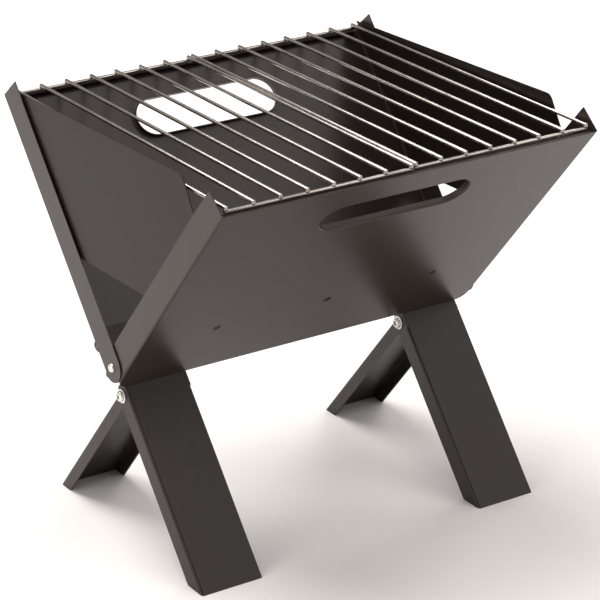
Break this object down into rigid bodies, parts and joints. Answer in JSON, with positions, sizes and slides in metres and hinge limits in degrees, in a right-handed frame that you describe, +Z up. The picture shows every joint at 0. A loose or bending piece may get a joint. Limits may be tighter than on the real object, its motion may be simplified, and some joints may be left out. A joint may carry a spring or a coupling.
{
  "type": "folding camp grill",
  "caption": "Folding camp grill: two flanged sheet panels hinged into a V on folding legs, with a wire grate in halves, end walls and carry slots.",
  "frame": {"origin": "on the ground under the middle of the open grill", "axes": "+X to the right along the panel pivots, front towards -Y, +Z up"},
  "size_m": [0.4048, 0.3868, 0.4056],
  "materials": {
    "sheet": "fine textured satin coating",
    "wire": "bright",
    "zinc": "bright zinc",
    "cap": "gloss black"
  },
  "bodies": {
    "frame": {"rear_panel": "sheet", "front_leg_left": "sheet", "front_leg_right": "sheet", "panel_pivot_rivets": "zinc", "panel_pivot_washers": "zinc", "leg_pivot_bolts": "zinc", "leg_pivot_washers": "zinc", "leg_pivot_nuts": "zinc", "mounting_bolts": "zinc", "mounting_washers": "zinc", "mounting_spacers": "zinc", "mounting_nuts": "zinc", "mounting_cap_nuts": "cap"},
    "front_panel": {"front_panel": "sheet"},
    "rear_leg_left": {"rear_leg_left": "sheet"},
    "rear_leg_right": {"rear_leg_right": "sheet"},
    "end_wall_left": {"end_wall_left": "sheet"},
    "end_wall_right": {"end_wall_right": "sheet"},
    "grate_left": {"grate_left_wires": "wire", "grate_left_rails": "wire"},
    "grate_right": {"grate_right_wires": "wire", "grate_right_rails": "wire"}
  },
  "joints": [
    {"name": "panel_fold", "type": "hinge", "parent": "frame", "child": "front_panel", "pos_m": [0, 0, 0.1785], "axis": [-1, 0, 0], "range_deg": [0, 80]},
    {"name": "rear_leg_left_fold", "type": "hinge", "parent": "frame", "child": "rear_leg_left", "pos_m": [-0.1555, 0.0037, 0.14589], "axis": [-1, 0, 0], "range_deg": [0, 80]},
    {"name": "rear_leg_right_fold", "type": "hinge", "parent": "frame", "child": "rear_leg_right", "pos_m": [0.1555, 0.0037, 0.14589], "axis": [-1, 0, 0], "range_deg": [0, 80]},
    {"name": "end_wall_left_lift", "type": "slide", "parent": "frame", "child": "end_wall_left", "axis": [0, 0.5, 0.866], "range_m": [0, 0.49]},
    {"name": "end_wall_right_lift", "type": "slide", "parent": "frame", "child": "end_wall_right", "axis": [0, 0.5, 0.866], "range_m": [0, 0.49]},
    {"name": "grate_left_lift", "type": "slide", "parent": "frame", "child": "grate_left", "axis": [0, 0.5, 0.866], "range_m": [0, 0.49]},
    {"name": "grate_right_lift", "type": "slide", "parent": "frame", "child": "grate_right", "axis": [0, 0.5, 0.866], "range_m": [0, 0.49]}
  ],
  "couplings": [
    {"joint": "end_wall_left_lift", "follows": "panel_fold", "m_per_rad": 0.35},
    {"joint": "end_wall_right_lift", "follows": "panel_fold", "m_per_rad": 0.35},
    {"joint": "grate_left_lift", "follows": "panel_fold", "m_per_rad": 0.35},
    {"joint": "grate_right_lift", "follows": "panel_fold", "m_per_rad": 0.35}
  ]
}
